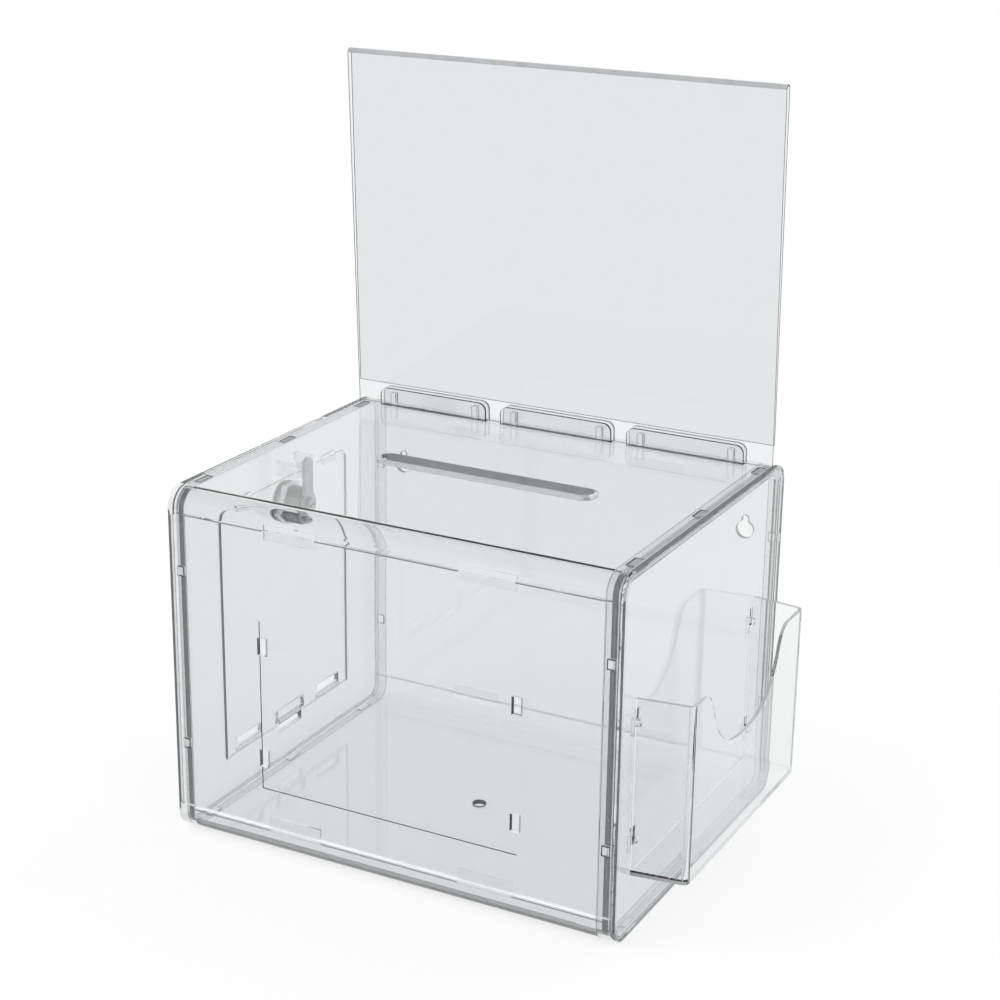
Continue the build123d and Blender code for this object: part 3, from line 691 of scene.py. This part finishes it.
def weld(piece):
    pickOnly(piece)
    bpy.ops.object.mode_set(mode="EDIT")
    bpy.ops.mesh.select_all(action="SELECT")
    bpy.ops.mesh.remove_doubles(threshold=smoothing["weld"])
    bpy.ops.mesh.dissolve_limited(angle_limit=math.radians(smoothing["flat"]))
    bpy.ops.object.mode_set(mode="OBJECT")


def cutAcross(piece, axis, places):
    pickOnly(piece)
    bpy.ops.object.mode_set(mode="EDIT")
    for place in places:
        bpy.ops.mesh.select_all(action="SELECT")
        bpy.ops.mesh.bisect(plane_co=axis * place, plane_no=axis)
    bpy.ops.object.mode_set(mode="OBJECT")


def within(point, box):
    return all(low <= value <= high for value, (low, high) in zip(point, box))


def insetOf(point):  # depth below the case's rounded outer surface, square to the X axis
    radius = case["radius"]
    outY = abs(point.y) - back + radius
    outZ = abs(point.z - top / 2) - top / 2 + radius
    reach = math.hypot(max(outY, 0), max(outZ, 0)) + min(max(outY, outZ), 0)
    return radius - reach


def onInside(point):
    return abs(insetOf(point) - case["wall"]) < case["skin"]


def tongueZone(point):  # the tongues behind the seams, and the seam that they cover
    near = min(abs(point.z - lowSeam), abs(point.z - highSeam)) < tongues["reach"]
    across = abs(abs(point.x) - tongues["pitch"] / 2) < tongues["width"] / 2 + 2 * case["skin"]
    return near and across and abs(point.y) > back - tongues["depth"]


def quietPlace(node, point):
    if node in shells:
        backSeam = abs(point.z - highSeam) < case["seam"] and point.y > 0
        if tongueZone(point) or backSeam:
            return True
    return any(within(point, box) for box in finishAndPaintedShade[node].get("quiet", ()))


def markEdges(piece, node, width):
    weights = piece.data.attributes.new("bevel_weight_edge", "FLOAT", "EDGE")
    form = bmesh.new()
    form.from_mesh(piece.data)
    form.edges.ensure_lookup_table()
    sharp = math.radians(smoothing["sharp"])
    lengths = [edge.calc_length() for edge in form.edges]
    marked = 0
    for edge in form.edges:
        if len(edge.link_faces) != 2 or edge.calc_face_angle() < sharp:
            continue
        if quietPlace(node, (edge.verts[0].co + edge.verts[1].co) / 2):
            continue
        shortest = min(lengths[other.index] for end in edge.verts for other in end.link_edges)
        if shortest > smoothing["room"] * width:
            weights.data[edge.index].value = 1.0
            marked += 1
    form.free()
    return marked


def paint(piece, layer, test):
    index = 1 + layers.index(layer)
    for face in piece.data.polygons:
        if test(face.center, face.normal):
            face.material_index = index


# Paints each zone's shade or highlight on the faces in its box that face its way
def paintZones(piece, node):
    for layer, *box, facing in finishAndPaintedShade[node].get("zones", ()):
        aim = Vector(facing) if facing else None
        paint(piece, layer, lambda centre, normal: within(centre, box)
              and (aim is None or normal.dot(aim) > smoothing["facing"]))


# Painted shade on a shell's front: the dark rims, greys inside the lower lip, and a dark line where it turns under
def paintLip(piece):
    onLip = front + shell["lipReach"]

    def banded(centre, normal):
        near, far = shell["bands"][1 if centre.x > 0 else -1]
        atWindow = min(abs(centre.z - z) for z in windows["z"]) < windows["halfZ"]
        inner = abs(insetOf(centre) - case["wall"]) < shell["bandSkin"]
        rim = near < abs(centre.x) < far and abs(normal.x) < shell["bandAcross"]
        return centre.y < onLip and inner and rim and not atWindow

    def lipInside(centre):
        return centre.y < onLip and abs(centre.x) < case["sheetEnd"] and onInside(centre)

    def turnsUnder(centre, normal):
        low = centre.z < shell["lipLine"] and normal.z > shell["underside"]
        outer = insetOf(centre) < shell["outerSkin"] and centre.y < front + case["radius"]
        return low and outer and abs(centre.x) < case["sheetEnd"]

    paint(piece, "edgeBand", banded)
    for layer, low, high in shell["lipShades"]:
        paint(piece, layer, lambda centre, normal: lipInside(centre) and low < centre.z < high)
    paint(piece, "edgeDeep", turnsUnder)


# Painted shade on the floors of the rims' windows, darker on a strip of each
def paintWindowFloors(piece):
    near, far = windows["x"]

    def windowFloor(centre, normal):
        outer = insetOf(centre) < case["rimWall"] - case["skin"]
        return near < abs(centre.x) < far and outer and normal.z > upward and centre.z > lidLow

    def darkStrip(centre):
        return 0 < centre.x < shell["bands"][1][0] or centre.x < -shell["bands"][-1][1]

    paint(piece, "edgeBand", windowFloor)
    paint(piece, "edgeDeep", lambda centre, normal: windowFloor(centre, normal) and darkStrip(centre))


# Seams: clearer glass on the tongues, quiet tongue sides, a glowing painted highlight along the lower front seam, a
# pale painted line along the lower back seam, and a quiet upper seam at the back and at the tongues
def paintSeams(piece):
    def seamEdge(centre, seam):
        return abs(centre.z - seam) < case["seam"] and insetOf(centre) < case["wall"] + case["skin"]

    def tongueFace(centre, normal):
        return tongueZone(centre) and insetOf(centre) > case["wall"] + tongues["trace"]

    def tongueSide(centre, normal):
        return tongueFace(centre, normal) and abs(normal.y) < tongues["upright"]

    paint(piece, "jointClear", tongueFace)
    paint(piece, "jointQuiet", tongueSide)
    paint(piece, "seamPaintedHighlight", lambda centre, normal: seamEdge(centre, lowSeam) and centre.y < 0)
    paint(piece, "edgePale", lambda centre, normal: seamEdge(centre, lowSeam) and centre.y > 0)
    paint(piece, "jointQuiet", lambda centre, normal: seamEdge(centre, highSeam)
          and (tongueZone(centre) or centre.y > 0))


# Painted shade on the walls of the rims' windows
def paintWindows(piece):
    near, far = windows["x"]

    def wallOf(centre, normal):
        upright = abs(centre.y) > back - case["rimWall"]
        atWindow = min(abs(centre.z - z) for z in windows["z"]) < windows["halfZ"] + windows["margin"]
        deep = windows["trace"] < insetOf(centre) < case["rimWall"] - windows["trace"]
        return near < abs(centre.x) < far and deep and (atWindow or not upright)

    paint(piece, "edgeDark", wallOf)


# Painted shade on the clip plates' narrow faces and on the throat's floor; their broad faces take the clearer glass
def paintClips(piece):
    low, high = clips["rise"]
    near, far = clips["plate"]
    halfDepth, skin = clips["throat"]

    def onPlate(centre, end):
        rise = centre.z - top
        y = centre.y - clips["footY"] + rise * math.sin(math.radians(clips["lean"]))
        return low < rise < high and near < y * end < far

    def throat(centre, normal):
        across = abs(centre.x / clips["pitch"] - round(centre.x / clips["pitch"])) * clips["pitch"]
        between = abs(centre.y - clips["footY"]) < halfDepth and across < clips["length"] / 2
        return between and normal.z > upward and abs(centre.z - top) < skin

    for end, rim in ((-1, "edgeDark"), (1, "edgeFine")):
        paint(piece, "jointClear", lambda centre, normal: onPlate(centre, end) and abs(normal.y) >= clips["broad"])
        paint(piece, rim, lambda centre, normal: onPlate(centre, end) and abs(normal.y) < clips["broad"])
    paint(piece, "edgeDark", throat)


def cutsFor(node):
    alongX, alongZ = [], []
    if node in shells:
        alongX += [end * place for end in (-1, 1) for place in shell["bands"][end]]
        alongX += [end * (tongues["pitch"] + far * tongues["width"]) / 2 for end in (-1, 1) for far in (-1, 1)]
    alongX += finishAndPaintedShade[node].get("cutsX", [])
    alongZ += finishAndPaintedShade[node].get("cutsZ", [])
    return (Vector(toRight), alongX), (Vector(toTop), alongZ)


def roundEdges(piece, node, plastic):
    look = finishAndPaintedShade[node]
    count = markEdges(piece, node, look["edge"])
    bevel = piece.modifiers.new("edges", "BEVEL")
    bevel.width = look["edge"]
    bevel.segments = smoothing["segments"]
    bevel.limit_method = "WEIGHT"
    bevel.use_clamp_overlap = True
    # the plastic's rounded edges carry a painted shade, edgeFine unless the piece names another grey
    bevel.material = 1 + layers.index(look.get("edgeLook", "edgeFine")) if plastic else -1
    bpy.ops.object.modifier_apply(modifier="edges")
    return count


def smoothFaces(piece):
    bpy.ops.object.shade_smooth_by_angle(angle=math.radians(smoothing["smooth"]))
    weighted = piece.modifiers.new("normals", "WEIGHTED_NORMAL")
    weighted.keep_sharp = True
    bpy.ops.object.modifier_apply(modifier="normals")


def finishedCopy(node, materials):
    piece = bpy.data.objects.new(node + ".finished", nodes[node].data.copy())
    scene.collection.objects.link(piece)
    plastic = slotOf[node] in clearLooks
    piece.data.materials.clear()
    for name in [finishAndPaintedShade[node].get("body", slotOf[node])] + (layers if plastic else []):
        piece.data.materials.append(materials[name])
    weld(piece)
    for axis, places in cutsFor(node):
        cutAcross(piece, axis, places)
    count = roundEdges(piece, node, plastic)
    if node in shells:
        paintLip(piece)
        paintWindowFloors(piece)
        paintSeams(piece)
    if node.endswith("end_cap"):
        paintWindows(piece)
    if node == "top_panel":
        paintClips(piece)
    paintZones(piece, node)
    smoothFaces(piece)
    indices = [face.material_index for face in piece.data.polygons]
    print(node, "edges", count, "faces by finish", [indices.count(index) for index in range(1 + len(layers))])
    return piece


def makePieces(materials):
    for node in finishAndPaintedShade:
        piece = finishedCopy(node, materials)
        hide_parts(node)
        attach(piece, bodyOf[node])


# The lock's thread, round the barrel between its flats
thread = {
    "radius": 0.0094,  # where the profile's middle runs, in metres
    "profile": 0.00042,
    "corners": 3,
    "pitch": 0.001,
    "turns": 8,
    "steps": 72,
    "start": -0.1340,
    "acrossFlats": 0.0160,
    "smooth": 40,
}

# The wafers' coil springs, in the plug
springs = {
    "radius": 0.0004,
    "wire": 0.0001,
    "wireSides": 8,
    "turns": 6,
    "steps": 20,
    "length": 0.0026,
    "foot": (-0.14025, 0.00245, 0.17255),
    "pitch": 0.0026,
    "count": 4,
    "smooth": 60,
}


def newRing(name, corners, radius, place, turn=(0, 0, 0)):
    bpy.ops.mesh.primitive_circle_add(vertices=corners, radius=radius, location=place, rotation=turn)
    piece = bpy.context.object
    piece.name = name
    bpy.ops.object.transform_apply(location=True, rotation=True, scale=True)
    return piece


def screwRing(piece, axis, rise, turns, steps):
    screw = piece.modifiers.new("turn", "SCREW")
    screw.axis = axis
    screw.screw_offset = rise
    screw.iterations = turns
    screw.steps = steps
    screw.render_steps = steps
    bpy.ops.object.modifier_apply(modifier="turn")


def placeTurned(piece, place, angle):  # closes the ends and moves the mesh, the object stays at the origin
    bpy.ops.object.mode_set(mode="EDIT")
    bpy.ops.mesh.select_all(action="SELECT")
    bpy.ops.mesh.fill_holes(sides=12)
    bpy.ops.mesh.select_all(action="SELECT")
    bpy.ops.mesh.normals_make_consistent(inside=False)
    bpy.ops.transform.translate(value=place)
    bpy.ops.object.mode_set(mode="OBJECT")
    bpy.ops.object.shade_smooth_by_angle(angle=math.radians(angle))


def makeThread(materials):
    low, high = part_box("lock_body")
    middle = (low + high) / 2
    piece = newRing("lockThread", thread["corners"], thread["profile"], (0, thread["radius"], 0))
    screwRing(piece, "X", thread["pitch"], thread["turns"], thread["steps"])
    bpy.ops.object.mode_set(mode="EDIT")
    for end in (-1, 1):
        bpy.ops.mesh.select_all(action="SELECT")
        bpy.ops.mesh.bisect(
            plane_co=(0, end * thread["acrossFlats"] / 2, 0),
            plane_no=(0, end, 0),
            use_fill=True,
            clear_outer=True,
        )
    bpy.ops.object.mode_set(mode="OBJECT")
    placeTurned(piece, (thread["start"], middle.y, middle.z), thread["smooth"])
    piece.data.materials.append(materials["barrelShadedMetal"])
    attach(piece, bodyOf["lock_body"])
    print("thread faces", len(piece.data.polygons))


def makeSprings(materials):
    wire = springs["wire"]
    piece = newRing(
        "wafer_springs.coils", springs["wireSides"], wire, (springs["radius"], 0, 0), (math.radians(90), 0, 0))
    rise = (springs["length"] - 2 * wire) / springs["turns"]
    screwRing(piece, "Z", rise, springs["turns"], springs["steps"])
    row = piece.modifiers.new("row", "ARRAY")
    row.use_relative_offset = False
    row.use_constant_offset = True
    row.constant_offset_displace = (springs["pitch"], 0, 0)
    row.count = springs["count"]
    bpy.ops.object.modifier_apply(modifier="row")
    placeTurned(piece, Vector(springs["foot"]) + Vector((0, 0, wire)), springs["smooth"])
    piece.data.materials.append(materials["lock_steel"])
    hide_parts("wafer_springs")
    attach(piece, bodyOf["wafer_springs"])
    print("spring faces", len(piece.data.polygons))


# Light has to pass many walls of clear plastic
lightPaths = {
    "max_bounces": 40,
    "transmission_bounces": 40,
    "glossy_bounces": 24,
    "transparent_max_bounces": 60,
    "use_denoising": True,
}


def setLightPaths():
    for name, value in lightPaths.items():
        setattr(scene.cycles, name, value)
    print("light paths set")


setCamera()
setWorld()
setFloor()
setLamps()
materials = makeMaterials()
makePieces(materials)
makeThread(materials)
makeSprings(materials)
scene.view_settings.view_transform = "Standard"
setLightPaths()
